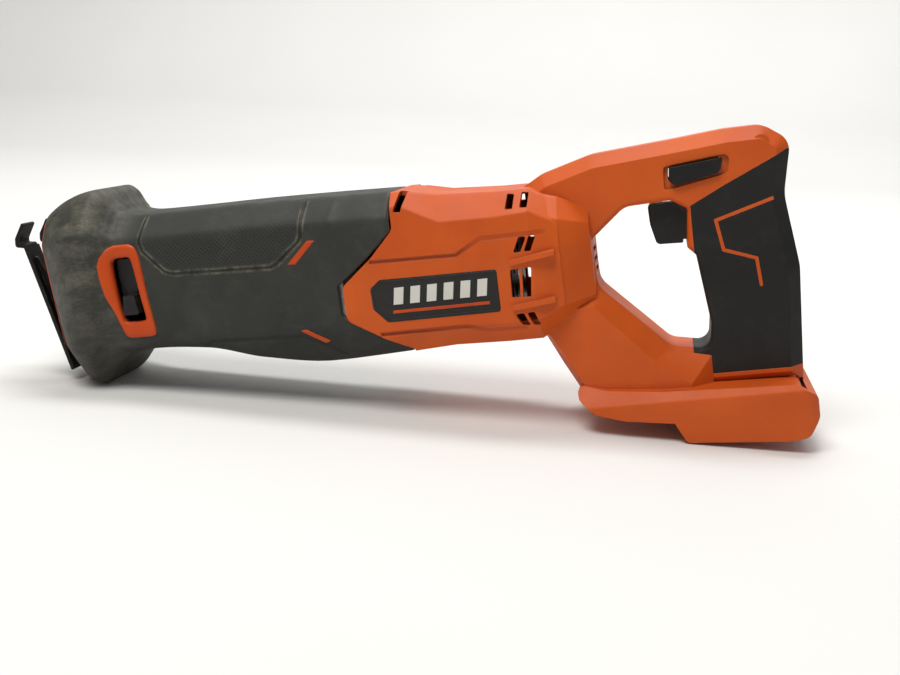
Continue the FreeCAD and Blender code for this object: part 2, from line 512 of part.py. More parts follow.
# ---- trigger, lock bar, switch, terminals ----
trigger = prism_y([(217.2, 12.0, 2), (217.6, 0.7, 20), (220.6, -11.6, 3), (236, -12.2, 1), (236, -10.2),
                   (249.5, -10.2), (249.5, 9.4), (238, 9.4), (236, 11.6, 1)], -8.0, 8.0)
trigger = trigger.common(prism_z([(216.6, -8), (260, -8), (260, 8), (216.6, 8)], -20, 20, 4.0))
node("trigger", trigger)
node("lock_off_bar", prism_y(LOCK, -18 - LOCK_TRAVEL / 2, 18 - LOCK_TRAVEL / 2))
switch = join(box(259.5, 287, -10, 10, -26, 6.5), rod_x(249.7 + TRIGGER_TRAVEL, 260, 2.6, 0, -4))
node("switch_module", switch)
node("trigger_spring", coil(249.98, 0, 4.0, "x", 9.0, 3.0, 0.45, 5))
block = join(box(236, 262, -16, 16, -109.5, -104.5), box(240, 258, -12, 12, -105, -98.5))
node("terminal_block", block)
node("battery_contacts", *[box(232, 250, y - 0.5, y + 0.5, -116, -109.6) for y in (-12, -4, 4, 12)])
MOTOR_RUN = [(134, 24, 2), (141, 12, 12), (160, 5, 15), (185, 5, 24), (205, 5, 22.6), (221, 5, 20.6),
             (235, 5, 20.25), (247, 5, 18.0), (259, 5, 13.5), (267, 5, 5.5)]
BATTERY_RUN = [(271, 5, -25), (272, 5, -45), (267, 5, -72), (257, 5, -89), (254.5, 5, -99)]
node("motor_leads", *[wire_run([V(x, s * y, z) for x, y, z in MOTOR_RUN], 1.3).cut(switch) for s in (-1, 1)])
node("battery_leads", *[wire_run([V(x, s * y, z) for x, y, z in BATTERY_RUN], 1.3).cut(switch).cut(block)
                        for s in (-1, 1)])

# ---- blade clamp ----
clamp = ring_x(-150, -127, 12.0, ROD_R).cut(box(-151, -140, -1.0, 1.0, -20, 20))
node("blade_clamp_body", clamp)
node("clamp_collar", ring_x(-147, -130, 15.0, 12.0 + RUN).cut(prism_x(
    [(-16, -2), (-13.6, -2), (-13.6, 2), (-16, 2)], -148, -129)).cut(prism_x(
        [(13.6, -2), (16, -2), (16, 2), (13.6, 2)], -148, -129)))
node("clamp_retaining_ring", ring_x(-149.4, -147.2, 13.4, 12.0).cut(box(-150, -147, -2, 2, 8, 20)))
node("clamp_spring", ring_x(-129.7, -127.3, 13.8, 12.0))
node("clamp_pin", rod_y(-7.6, 7.6, 1.45, -136, 0))

# ---- release lever: ring on the nose, drum plate behind the window, finger tab ----
hub = ring_x(-109, -90.5, 23.0, 20.0 + RUN)
drum = ring_x(-106.5, -92.0, 35.5, 33.0)
wedge = prism_x([(0, 0), (-50, 24), (-50, -30)], -107, -91)
drum = drum.common(wedge)
web = box(-104, -95, -34, -21, -5, 0)
tab = prism_y([(-102.6, -4.5, 1), (-95.3, -4.5, 1), (-93.9, -16.6, 1.5), (-104.2, -16.6, 1.5)], -43.6, -28.0)
pad = prism_y([(-106.6, 17.6, 2), (-95.6, 17.6, 2), (-94.6, 1.0, 4), (-97.5, -7.0, 3), (-101.5, -7.0, 3),
               (-106.4, 4.0, 6)], -36.0, -32.0)
node("release_lever", join(hub, drum, web, tab, pad))

# ---- shoe, pivot and bracket ----
bracket = box(-150, -60, -9, 9, -30.5, -26.5)
for s in (-1, 1):
    lo, hi = sorted((s * 11.0, s * 14.0))
    arm = prism_y([(-157, -13.7), (-151, -12.5, 3), (-120, -24, 3), (-120, -30.5), (-150, -30.5, 4),
                   (-157, -22.3)], lo, hi).fuse(rod_y(lo, hi, 4.4, *PIVOT))
    lo, hi = sorted((s * 8.0, s * 14.0))
    bracket = bracket.fuse(arm).fuse(box(-150, -120, lo, hi, -30.5, -26.5))
bracket = bracket.removeSplitter().cut(rod_y(-20, 20, 3.0, *PIVOT))
for x in (-67, -79):
    bracket = bracket.cut(rod_z(-32, -25, 2.1, x, 0))
node("shoe_bracket", bracket)
node("bracket_screws", *[join(rod_z(-36.9, -22, 2.0, x, 0), rod_z(-40.5, -36.9, 3.8, x, 0)).cut(prism_z(
    [(x + 1.7 * math.cos(k * math.pi / 3), 1.7 * math.sin(k * math.pi / 3)) for k in range(6)], -41, -38.4))
    for x in (-67, -79)])
for x in (-67, -79):
    NODES["gear_case"][0] = NODES["gear_case"][0].cut(rod_z(-36.9, -21, 2.0, x, 0)).cut(
        rod_z(-42, -36.9, 4.2, x, 0))
    NODES["boot"][0] = NODES["boot"][0].cut(rod_z(-70, -36.9, 4.2, x, 0))

face = prism_y([(-174.6, 31.0), (-172.2, 31.6), (-155.0, -50.4), (-157.4, -51.0)], -22, 22, 0.8)
hooks = []
for s in (-1, 1):
    lo, hi = sorted((s * 9.0, s * 22.0))
    hooks.append(prism_y([(-174.6, 30.4), (-180.2, 31.4, 2), (-179.4, 37.0, 3), (-173.0, 46.4, 1),
                          (-171.0, 45.2, 1), (-176.8, 36.4, 2), (-177.4, 33.6, 1), (-172.2, 33.0, 1.5),
                          (-172.0, 30.4)], lo, hi))
ears = []
for s in (-1, 1):
    lo, hi = sorted((s * 14.5, s * 17.0))
    ears.append(prism_y([(-172.2, 24), (-169.5, 24, 2), (-158.5, 1.0, 6), (-150.5, -13, 5), (-150.5, -26, 5),
                         (-156.5, -40, 2), (-158.2, -40)], lo, hi))
shoe = join(face, *hooks, *ears)
shoe = shoe.cut(box(-190, -150, -6.5, 6.5, -22, 60)).cut(rod_x(-190, -150, 6.5, 0, -22))
shoe = shoe.cut(rod_y(-20, 20, 3.0 + RUN, *PIVOT))
node("shoe", shoe)
node("shoe_pivot_pin", join(rod_y(-17.6, 17.6, 3.0, *PIVOT), *[rod_y(a, b, 4.6, *PIVOT)
                                                             for a, b in ((-19.2, -17.4), (17.4, 19.2))]))

# ---- stand the saw on its collar and foot, centred over the floor, and write every node ----
boxes = []
for shapes in NODES.values():
    for shape in shapes:
        shape.rotate(V(0, 0, 0), V(0, 1, 0), -STAND)
        boxes.append(shape.optimalBoundingBox(False, False))
mid_x = (min(b.XMin for b in boxes) + max(b.XMax for b in boxes)) / 2.0
mid_y = (min(b.YMin for b in boxes) + max(b.YMax for b in boxes)) / 2.0
low_z = min(b.ZMin for b in boxes)
os.makedirs("parts", exist_ok=True)
for name, shapes in NODES.items():
    for shape in shapes:
        shape.translate(V(-mid_x, -mid_y, -low_z))
    solids = [solid for shape in shapes for solid in shape.Solids]
    whole = solids[0] if len(solids) == 1 else Part.makeCompound(solids)
    whole.exportStep("parts/" + name + ".step")
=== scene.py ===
import bpy
import bmesh
import json
import math
import numpy as np
from mathutils import Matrix, Vector


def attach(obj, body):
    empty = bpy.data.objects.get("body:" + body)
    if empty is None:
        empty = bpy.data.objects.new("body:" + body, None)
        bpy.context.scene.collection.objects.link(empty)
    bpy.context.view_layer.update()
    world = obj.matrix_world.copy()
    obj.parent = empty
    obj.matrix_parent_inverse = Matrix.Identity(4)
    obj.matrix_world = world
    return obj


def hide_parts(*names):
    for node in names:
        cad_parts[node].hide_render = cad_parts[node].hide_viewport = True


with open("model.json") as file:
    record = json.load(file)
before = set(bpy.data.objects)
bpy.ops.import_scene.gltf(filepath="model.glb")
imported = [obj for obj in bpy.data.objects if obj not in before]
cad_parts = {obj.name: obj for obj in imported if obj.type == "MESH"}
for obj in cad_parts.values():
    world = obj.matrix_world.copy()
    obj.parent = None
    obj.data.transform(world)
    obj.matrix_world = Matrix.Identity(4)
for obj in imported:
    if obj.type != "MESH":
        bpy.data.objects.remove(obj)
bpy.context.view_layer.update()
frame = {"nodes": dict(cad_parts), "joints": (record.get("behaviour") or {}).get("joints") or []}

# ---------------------------------------------------------------- rubber boot
# One soft sleeve over the gear case, flared into a collar at the nose. Moulded black-grey
# thermoplastic rubber with a dimpled palm panel, scuffed and dusty, stretched over the case.

# The tool stands nose-down on its collar and foot. Pieces are drawn in the tool's own
# axes, millimetres, x rearward from the crank and z up from the plunger rod.
LEAN = math.radians(10.0)
TURN = Matrix.Rotation(-LEAN, 3, "Y")
SHOE_PIN = Vector((-157.0, 0.0, -18.0)) / 1000.0
HOME = Vector(next(j for j in frame["joints"] if j["name"] == "shoe_tilt")["pos_m"]) - TURN @ SHOE_PIN


def at(x, y, z):
    return TURN @ (Vector((x, y, z)) / 1000.0) + HOME


def tint(text):
    rgb = [int(text[i:i + 2], 16) / 255.0 for i in (1, 3, 5)]
    return tuple(c / 12.92 if c <= 0.04045 else ((c + 0.055) / 1.055) ** 2.4 for c in rgb) + (1.0,)


def add(mat, kind, links=None, **props):
    """Add one shader node; links maps an input to a value or to another node's output."""
    node = mat.node_tree.nodes.new("ShaderNode" + kind)
    for key, value in props.items():
        setattr(node, key, value)
    for key, value in (links or {}).items():
        if isinstance(value, bpy.types.NodeSocket):
            mat.node_tree.links.new(value, node.inputs[key])
        else:
            node.inputs[key].default_value = value
    return node


def start(name):
    mat = bpy.data.materials.new(name)
    mat.use_nodes = True
    mat.node_tree.nodes.clear()
    spot = add(mat, "TexCoord")
    turned = add(mat, "Mapping", {"Vector": spot.outputs["Object"], "Rotation": (0.0, LEAN, 0.0),
                                  "Location": -(TURN.inverted() @ HOME)})
    return mat, turned.outputs["Vector"]


def noise(mat, spot, size_mm, detail=3.0, rough=0.5):
    made = add(mat, "TexNoise", {"Vector": spot, "Scale": 1000.0 / size_mm, "Detail": detail,
                                 "Roughness": rough})
    return made.outputs["Fac"]


def ramp(mat, value, low, high, to_low=0.0, to_high=1.0):
    made = add(mat, "MapRange", {"Value": value, "From Min": low, "From Max": high,
                                 "To Min": to_low, "To Max": to_high})
    return made.outputs["Result"]


def blend(mat, fac, a, b):
    made = add(mat, "Mix", data_type="RGBA")
    for key, value in ((0, fac), (6, a), (7, b)):
        if isinstance(value, bpy.types.NodeSocket):
            mat.node_tree.links.new(value, made.inputs[key])
        else:
            made.inputs[key].default_value = value
    return made.outputs[2]


def times(mat, a, b, operation="MULTIPLY"):
    return add(mat, "Math", {0: a, 1: b}, operation=operation).outputs[0]


def worn(mat, spot, radius_mm=0.6):
    """Rounded edge normal and a mask that is 1 on worn outside edges."""
    soft = add(mat, "Bevel", {"Radius": radius_mm / 1000.0}, samples=6).outputs["Normal"]
    hard = add(mat, "NewGeometry").outputs["Normal"]
    dot = add(mat, "VectorMath", {0: soft, 1: hard}, operation="DOT_PRODUCT").outputs["Value"]
    edge = ramp(mat, dot, 0.995, 0.90)
    patchy = ramp(mat, noise(mat, spot, 6.0, 4.0, 0.7), 0.45, 0.62)
    return soft, times(mat, edge, patchy)


def hollows(mat, spot, reach_mm, patch_mm):
    """Mask of the hollows where surfaces meet, in patches; it lays settled dust on the rubber and plastics
    and painted shade on the metals.
    """
    ao = add(mat, "AmbientOcclusion", {"Distance": reach_mm / 1000.0}, samples=6).outputs["AO"]
    deep = ramp(mat, ao, 0.85, 0.45)
    return times(mat, deep, ramp(mat, noise(mat, spot, patch_mm, 5.0, 0.6), 0.35, 0.65))


def seam(mat, spot, line):
    """Distance in millimetres from a polyline drawn on the side of the tool."""
    flat = add(mat, "VectorMath", {0: spot, 1: (1000.0, 0.0, 1000.0)}, operation="MULTIPLY").outputs[0]
    near = None
    for (x0, z0), (x1, z1) in zip(line, line[1:]):
        run = Vector((x1 - x0, 0.0, z1 - z0))
        off = add(mat, "VectorMath", {0: flat, 1: (x0, 0.0, z0)}, operation="SUBTRACT").outputs[0]
        along = add(mat, "VectorMath", {0: off, 1: run / run.length_squared},
                    operation="DOT_PRODUCT").outputs["Value"]
        part = add(mat, "Math", {0: along, 1: 1.0}, operation="MULTIPLY", use_clamp=True).outputs[0]
        foot = add(mat, "VectorMath", {0: run, "Scale": part}, operation="SCALE").outputs[0]
        gap = add(mat, "VectorMath", {0: off, 1: foot}, operation="DISTANCE").outputs["Value"]
        near = gap if near is None else times(mat, near, gap, "MINIMUM")
    return near


def close(mat, colour, rough, normal, **plain):
    shader = add(mat, "BsdfPrincipled", {"Base Color": colour, "Roughness": rough, "Normal": normal})
    for key, value in plain.items():
        shader.inputs[key.replace("_", " ")].default_value = value
    out = add(mat, "OutputMaterial")
    mat.node_tree.links.new(shader.outputs[0], out.inputs["Surface"])
    return mat


def build(name, verts, faces, mat, body="tool", slot=None, smooth=True):
    mesh = bpy.data.meshes.new(name)
    mesh.from_pydata([tuple(at(*v)) for v in verts], [], faces)
    mesh.validate()
    bm = bmesh.new()
    bm.from_mesh(mesh)
    bmesh.ops.remove_doubles(bm, verts=bm.verts, dist=1e-6)
    bmesh.ops.recalc_face_normals(bm, faces=bm.faces)
    bm.to_mesh(mesh)
    bm.free()
    for poly in mesh.polygons:
        poly.use_smooth = smooth
    obj = bpy.data.objects.new(name, mesh)
    bpy.context.scene.collection.objects.link(obj)
    mesh.materials.append(mat)
    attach(obj, body)
    return obj


# Rows of the sleeve: x, lean of the section, half width, top and bottom.
ROWS = [(-156.0, -0.065, 30.0, 45.5, -45.5), (-152.7, -0.062, 34.6, 48.6, -48.6),
        (-149, -0.03, 39, 51.8, -51.8), (-140, 0.04, 46.5, 57.5, -57.5), (-131, 0.09, 50.5, 60.6, -60.6),
        (-126, 0.12, 51.4, 61.3, -61.3), (-121, 0.12, 49.8, 58.6, -58.2), (-114, 0.10, 45.3, 50.2, -49.0),
        (-106, 0.03, 42.2, 45.0, -42.6), (-94, 0.0, 41.4, 43.0, -41.6), (-60, 0.0, 41.5, 42.2, -44.5),
        (-25, 0.0, 42.0, 41.8, -54.0), (20, 0.0, 42.8, 40.5, -60.3), (76, 0.0, 43.0, 38.2, -58.0)]
NOSE_X = -152.7
STRAIGHT_X = -20.0
SIDE_Y = 24.0
PIT_PITCH = 2.7
WALL_MM = 3.2

# Lines on the side, x and z: rear edge of the sleeve (z first), opening for the lever,
# recessed palm panel, groove low on the flank and the raised crease across it.
SPLIT = [(-90.0, 71.5), (-56, 71.5), (-44.1, 52.0), (-33.6, 33.7), (-13.1, 33.7), (1.9, 53.0), (17, 69.0),
         (60, 69.2)]
WINDOW = [(-113.4, 18.6), (-106.4, 25.0), (-94.2, 24.4), (-90.8, 17.6), (-89.9, 1.4), (-86.4, -29.8),
          (-103.9, -28.6), (-110.3, -1.8)]
PANEL = [(-82.4, 60), (-88.2, 27.0), (-86.6, 21.0), (-74, 7.4), (-69.5, 5.6), (-7.0, 3.2), (-2.0, 4.8),
         (12.6, 16.2), (14.6, 19.6), (19.6, 60)]
SILL = [(-60, -42.0), (-52, -38.5), (6, -40.5), (14, -44.5), (30, -55)]
CREASE = [(-86, -7.0), (8, -12.0), (16, -10.0), (27, 7), (36, 40)]


def smoothly(xs, ys, x):
    """Monotone cubic through the rows."""
    xs, ys = np.asarray(xs, float), np.asarray(ys, float)
    h, d = np.diff(xs), np.diff(ys) / np.diff(xs)
    m = np.zeros_like(ys)
    m[0], m[-1] = d[0], d[-1]
    for i in range(1, len(xs) - 1):
        if d[i - 1] * d[i] > 0:
            a, b = 2 * h[i] + h[i - 1], h[i] + 2 * h[i - 1]
            m[i] = (a + b) / (a / d[i - 1] + b / d[i])
    i = int(np.clip(np.searchsorted(xs, x) - 1, 0, len(xs) - 2))
    t = (x - xs[i]) / h[i]
    return (ys[i] * (1 + 2 * t) * (1 - t) ** 2 + m[i] * h[i] * t * (1 - t) ** 2
            + ys[i + 1] * t * t * (3 - 2 * t) + m[i + 1] * h[i] * t * t * (t - 1))


def row_value(k, x):
    return smoothly([row[0] for row in ROWS], [row[k] for row in ROWS], x)


def hoop(x):
    """Cross-section of the boot at x: a rounded polygon, widest low on the side."""
    w, zt, zb = (row_value(k, x) for k in (2, 3, 4))
    nose = min(1.0, max(0.0, (-104.0 - x) / 14.0))
    neck = 1.0 - nose
    cut = 14 * neck + 0.42 * w * nose
    side = zt - (13 * neck + 0.483 * w * nose)
    lean = 2.6 * neck
    chine = -37.0 - 8.0 * min(1.0, max(0.0, (x - 20.0) / 50.0))
    half = [(0.0, zt), (w - cut - lean, zt), (w - lean, side), (w, -7.0 * neck + 0.3 * side * nose),
            (w - 0.9 * neck, chine * neck - (side - 0.5) * nose), (w - cut, zb), (0.0, zb)]
    ring = []
    for a, b, n in zip(half, half[1:], (13, 11, 26, 26, 11, 13)):
        a, b = Vector(a), Vector(b)
        ring += [a + (b - a) * k / n for k in range(n)]
    ring.append(Vector(half[-1]))
    for _ in range(7):
        new = [p.copy() for p in ring]
        for k in range(1, len(ring) - 1):
            new[k] = ring[k] * 0.5 + (ring[k - 1] + ring[k + 1]) * 0.25
        new[0].y = ring[0].y * 0.5 + ring[1].y * 0.5
        new[-1].y = ring[-1].y * 0.5 + ring[-2].y * 0.5
        ring = new
    return [(-p.x, p.y) for p in ring] + [(p.x, p.y) for p in reversed(ring[1:-1])]


def inside(poly, x, z):
    hit = False
    for (x0, z0), (x1, z1) in zip(poly, poly[1:] + poly[:1]):
        if (z0 > z) != (z1 > z) and x < (x1 - x0) * (z - z0) / (z1 - z0) + x0:
            hit = not hit
    return hit


def reach(line, x, z):
    """Distance from (x, z) to an open polyline."""
    best = 1e9
    for (x0, z0), (x1, z1) in zip(line, line[1:]):
        dx, dz = x1 - x0, z1 - z0
        t = min(1.0, max(0.0, ((x - x0) * dx + (z - z0) * dz) / (dx * dx + dz * dz)))
        best = min(best, math.hypot(x - x0 - t * dx, z - z0 - t * dz))
    return best


def split_x(z):
    return float(np.interp(z, [p[0] for p in SPLIT], [p[1] for p in SPLIT]))


def skin_depth(x, z, y):
    """How far the moulded details sink or raise the rubber, mm."""
    if abs(y) < SIDE_Y or x < -100:
        return 0.0
    depth = 0.0
    line = reach(PANEL, x, z)
    if inside(PANEL, x, z):
        depth -= 0.7 * min(1.0, line / 1.6)
    depth -= 0.8 * math.exp(-(line / 1.3) ** 2)
    depth -= 0.7 * math.exp(-(reach(SILL, x, z) / 1.3) ** 2)
    depth += 0.5 * math.exp(-(reach(CREASE, x, z) / 2.2) ** 2)
    return depth


def boot_rings():
    """Rings from the nose back to the slanted edge at the motor housing, where the skin rolls in."""
    rings = []
    for x in list(np.arange(NOSE_X, STRAIGHT_X, 1.1)) + [STRAIGHT_X]:
        lean = row_value(1, x)
        rings.append([(x + lean * z, y, z) for y, z in hoop(x)])
    rear = [z for y, z in hoop(52.0)]
    for t in list(np.linspace(0, 1, 80)[1:-1]) + [0.992, 0.997, 1.0]:
        ring, known = [], {}
        for k, z_rear in enumerate(rear):
            length = split_x(z_rear) - STRAIGHT_X
            x = STRAIGHT_X + t * length
            key = round(x, 2)
            if key not in known:
                known[key] = hoop(key)
            y, z = known[key][k]
            roll = 1.0 - 1.3 * max(0.0, 1.0 - (1.0 - t) * length / 1.6) ** 2 / 43.0
            ring.append((x, y * roll, z * roll))
        rings.append(ring)
    return rings


def boot_shape():
    rings = boot_rings()
    n = len(rings[0])
    verts = [(x, y + math.copysign(skin_depth(x, z, y), y), z) for ring in rings for x, y, z in ring]
    faces = []
    for i in range(len(rings) - 1):
        for k in range(n):
            a, b = i * n + k, i * n + (k + 1) % n
            quad = (a, b, b + n, a + n)
            x, y, z = (sum(verts[q][j] for q in quad) / 4 for j in range(3))
            if not (y < 0 and inside(WINDOW, x, z)):
                faces.append(quad)
    return verts, faces


def wave_of(mat, a, b, operation):
    """Cosine ripple along one diagonal of the side, one crest for each pit."""
    phase = times(mat, times(mat, a, b, operation), 2 * math.pi * 1000 / PIT_PITCH)
    return add(mat, "Math", {0: phase}, operation="COSINE").outputs[0]


def boot_rubber():
    mat, spot = start("moulded thermoplastic rubber, dusty")
    split = add(mat, "SeparateXYZ", {"Vector": spot})
    x, y, z = (split.outputs[k] for k in "XYZ")
    side = ramp(mat, add(mat, "Math", {0: y}, operation="ABSOLUTE").outputs[0], 0.024, 0.030)
    drift = ramp(mat, noise(mat, spot, 30.0, 4.0), 0.3, 0.7)
    colour = blend(mat, drift, tint("#2F302D"), tint("#262725"))
    # Painted light: the upper part of the sleeve is lightened, as if lit from above.
    painted_top_light = ramp(mat, z, -0.055, 0.02)
    colour = blend(mat, times(mat, painted_top_light, 0.3), colour, tint("#3E3F3B"))
    near = ramp(mat, x, -0.088, -0.118)
    streak = add(mat, "Mapping", {"Vector": spot, "Scale": (0.35, 1.0, 1.0)}).outputs["Vector"]
    cloud = ramp(mat, noise(mat, streak, 9.0, 8.0, 0.72), 0.40, 0.66)
    fine = ramp(mat, noise(mat, spot, 1.2, 5.0, 0.75), 0.35, 0.70, 0.3, 1.0)
    low = ramp(mat, z, -0.05, 0.02, 0.35, 1.0)
    dust = times(mat, times(mat, near, cloud), times(mat, fine, low))
    colour = blend(mat, times(mat, dust, 0.5), colour, tint("#99927D"))
    colour = blend(mat, times(mat, near, 0.08), colour, tint("#62624F"))
    haze = ramp(mat, noise(mat, spot, 22.0, 7.0, 0.72), 0.5, 0.8, 0.0, 0.09)
    colour = blend(mat, haze, colour, tint("#8C8878"))
    fleck = ramp(mat, noise(mat, spot, 0.9, 2.0, 0.6), 0.73, 0.80, 0.0, 0.5)
    colour = blend(mat, fleck, colour, tint("#8F8A78"))

    palm = add(mat, "Attribute", attribute_name="palm").outputs["Fac"]
    wave = times(mat, wave_of(mat, x, z, "ADD"), wave_of(mat, x, z, "SUBTRACT"), "ADD")
    pit = times(mat, ramp(mat, wave, 0.75, 1.35), palm)
    # Painted shade: the pits of the palm panel are darkened nearly to black.
    colour = blend(mat, times(mat, pit, 0.75), colour, tint("#0D0E0D"))

    outline = seam(mat, spot, PANEL)
    lip = times(mat, ramp(mat, outline, 2.6, 1.2), side)
    cut = times(mat, ramp(mat, outline, 1.1, 0.5), side)
    patch = ramp(mat, noise(mat, spot, 8.0, 6.0, 0.7), 0.40, 0.60)
    worn_lip = times(mat, times(mat, lip, patch), ramp(mat, noise(mat, spot, 0.8, 3.0, 0.7), 0.3, 0.6))
    colour = blend(mat, times(mat, worn_lip, 0.42), colour, tint("#A8A085"))
    # Painted shade: the groove round the palm panel is darkened.
    colour = blend(mat, times(mat, cut, 0.8), colour, tint("#161715"))
    sill = times(mat, ramp(mat, seam(mat, spot, SILL), 1.4, 0.5), side)
    # Painted shade: the groove low on the flank is darkened.
    colour = blend(mat, times(mat, sill, 0.6), colour, tint("#1B1C1A"))

    soft, edge = worn(mat, spot, 1.0)
    groove = hollows(mat, spot, 2.5, 7.0)
    colour = blend(mat, times(mat, groove, 0.35), colour, tint("#A79E84"))
    colour = blend(mat, times(mat, edge, 0.35), colour, tint("#7F7D73"))
    grain = noise(mat, spot, 0.5, 2.0)
    height = times(mat, times(mat, grain, 0.12), times(mat, pit, -1.0), "ADD")
    height = times(mat, height, times(mat, cut, -1.4), "ADD")
    height = times(mat, height, times(mat, sill, -0.8), "ADD")
    normal = add(mat, "Bump", {"Height": height, "Distance": 0.0005, "Strength": 0.9,
                               "Normal": soft}).outputs["Normal"]
    gloss = ramp(mat, noise(mat, spot, 12.0, 5.0), 0.3, 0.7, 0.50, 0.66)
    return close(mat, colour, gloss, normal, Specular_IOR_Level=0.3)


rubber = boot_rubber()
boot = build("boot_sleeve", *boot_shape(), rubber, slot="boot_rubber")
palm = boot.data.attributes.new("palm", "FLOAT", "POINT")
UPRIGHT = TURN.inverted()
for i, vert in enumerate(boot.data.vertices):
    p = (UPRIGHT @ (vert.co - HOME)) * 1000.0
    if abs(p.y) > 20 and inside(PANEL, p.x, p.z):
        inward = min(1.0, max(0.0, (reach(PANEL, p.x, p.z) - 2.2) / 1.2))
        palm.data[i].value = inward * min(1.0, max(0.0, (31.0 - p.z) / 9.0))
wall = boot.modifiers.new("wall", "SOLIDIFY")
wall.thickness = WALL_MM / 1000.0
wall.offset = -1.0
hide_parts("boot")


def side_y(x, z):
    """Outside of the boot on the left at (x, z)."""
    ring = [p for p in hoop(x) if p[0] < 0]
    ring.sort(key=lambda p: p[1])
    return float(np.interp(z, [p[1] for p in ring], [p[0] for p in ring])) - skin_depth(x, z, -40)


# ---------------------------------------------------------------- orange boot trim
# Window frame around the release lever, four accent flashes and the nose ring. Moulded
# orange nylon, pressed into seats in the rubber.


def moulded(name, base, deep, pale, dust, grain_mm, grain_depth, rough, dustiness=0.5, rubbed=0.5,
            radius_mm=0.6, steps=(), **plain):
    """Moulded plastic: batch colour drift, spark-eroded grain, dusty corners and rubbed edges.
    steps are polylines on the side where the moulding steps down; along each the colour gets a dark band of
    painted shade and the surface a bump."""
    mat, spot = start(name)
    soft, edge = worn(mat, spot, radius_mm)
    drift = ramp(mat, noise(mat, spot, 45.0, 3.0), 0.3, 0.7)
    colour = blend(mat, drift, tint(base), tint(deep))
    smear = ramp(mat, noise(mat, spot, 14.0, 6.0, 0.65), 0.52, 0.78, 0.0, 0.35 * dustiness)
    colour = blend(mat, smear, colour, tint(dust))
    colour = blend(mat, times(mat, hollows(mat, spot, 5.0, 9.0), dustiness), colour, tint(dust))
    colour = blend(mat, times(mat, edge, rubbed), colour, tint(pale))
    grain = noise(mat, spot, grain_mm, 2.0)
    scuff = ramp(mat, noise(mat, spot, 2.2, 6.0, 0.75), 0.62, 0.7)
    height = times(mat, grain, times(mat, scuff, -0.5), "ADD")
    if steps:
        across = add(mat, "SeparateXYZ", {"Vector": spot}).outputs["Y"]
        flank = ramp(mat, add(mat, "Math", {0: across}, operation="ABSOLUTE").outputs[0], 0.036, 0.039)
        for line in steps:
            step = times(mat, ramp(mat, seam(mat, spot, line), 1.7, 1.1), flank)
            # Painted shade: a dark band along each step line stands in for the shaded face of the step.
            colour = blend(mat, times(mat, step, 0.42), colour, tint("#8E2F08"))
            height = times(mat, height, times(mat, step, -6.0), "ADD")
    normal = add(mat, "Bump", {"Height": height, "Distance": grain_depth / 1000.0, "Strength": 0.6,
                               "Normal": soft}).outputs["Normal"]
    gloss = ramp(mat, noise(mat, spot, 20.0, 4.0), 0.3, 0.7, rough - 0.06, rough + 0.08)
    plain.setdefault("Specular_IOR_Level", 0.3)
    return close(mat, colour, gloss, normal, **plain)


def wear(mat, *names):
    """Give carried-over CAD nodes this material."""
    for name in names:
        obj = frame["nodes"][name]
        obj.data.materials.clear()
        obj.data.materials.append(mat)


FRAME_OUT = [(-115.2, 17.0), (-113.6, 21.6), (-109.0, 25.4), (-105.0, 26.8), (-95.0, 26.4), (-91.6, 24.4),
             (-89.6, 19.0), (-88.4, 6.0), (-85.6, -27.0), (-85.6, -30.0), (-88.0, -31.2), (-102.6, -31.0),
             (-105.4, -29.6), (-110.0, -13.0), (-113.2, -4.0), (-114.6, 6.0)]
FRAME_IN = [(-107.6, 14.5), (-107.2, 17.2), (-105.4, 18.5), (-102.4, 18.7), (-97.6, 18.7), (-95.6, 18.0),
            (-94.9, 15.6), (-93.6, 6.0), (-90.8, -17.6), (-91.0, -20.4), (-93.0, -21.4), (-102.4, -20.8),
            (-105.0, -19.6), (-106.0, -11.0), (-106.9, -1.0), (-107.4, 7.0)]


def around(corners, centre, count):
    """Points around a closed outline, one for each equal angle about the centre."""
    made = []
    for k in range(count):
        a = 2 * math.pi * k / count
        ray = Vector((math.cos(a), math.sin(a)))
        best = 0.0
        for (x0, z0), (x1, z1) in zip(corners, corners[1:] + corners[:1]):
            p, q = Vector((x0, z0)) - centre, Vector((x1, z1)) - centre
            turn = ray.cross(q - p)
            if abs(turn) < 1e-9:
                continue
            t, u = p.cross(q - p) / turn, p.cross(ray) / turn
            if t > 0 and -1e-6 <= u <= 1 + 1e-6:
                best = max(best, t)
        made.append(centre + ray * best)
    for _ in range(2):
        made = [(made[k - 1] + made[k] * 2 + made[(k + 1) % count]) / 4 for k in range(count)]
    return made


def window_frame():
    """Rounded ring standing proud of the boot; each step is a share of the way in and a depth."""
    centre, count = Vector((-99.3, -3.0)), 220
    outer, inner = around(FRAME_OUT, centre, count), around(FRAME_IN, centre, count)
    steps = [(0.0, 1.6), (0.0, -0.6), (0.05, -1.1), (0.14, -1.45), (0.3, -1.6), (0.6, -1.6), (0.8, -1.4),
             (0.93, -0.9), (1.0, 0.0), (1.0, 1.4), (1.0, 3.9)]
    verts, faces = [], []
    for share, sink in steps:
        for a, b in zip(outer, inner):
            p = a + (b - a) * share
            verts.append((p.x, side_y(p.x, p.y) + sink, p.y))
    for k in range(len(steps)):
        row, after = k * count, ((k + 1) % len(steps)) * count
        faces += [(row + m, row + (m + 1) % count, after + (m + 1) % count, after + m) for m in range(count)]
    return verts, faces


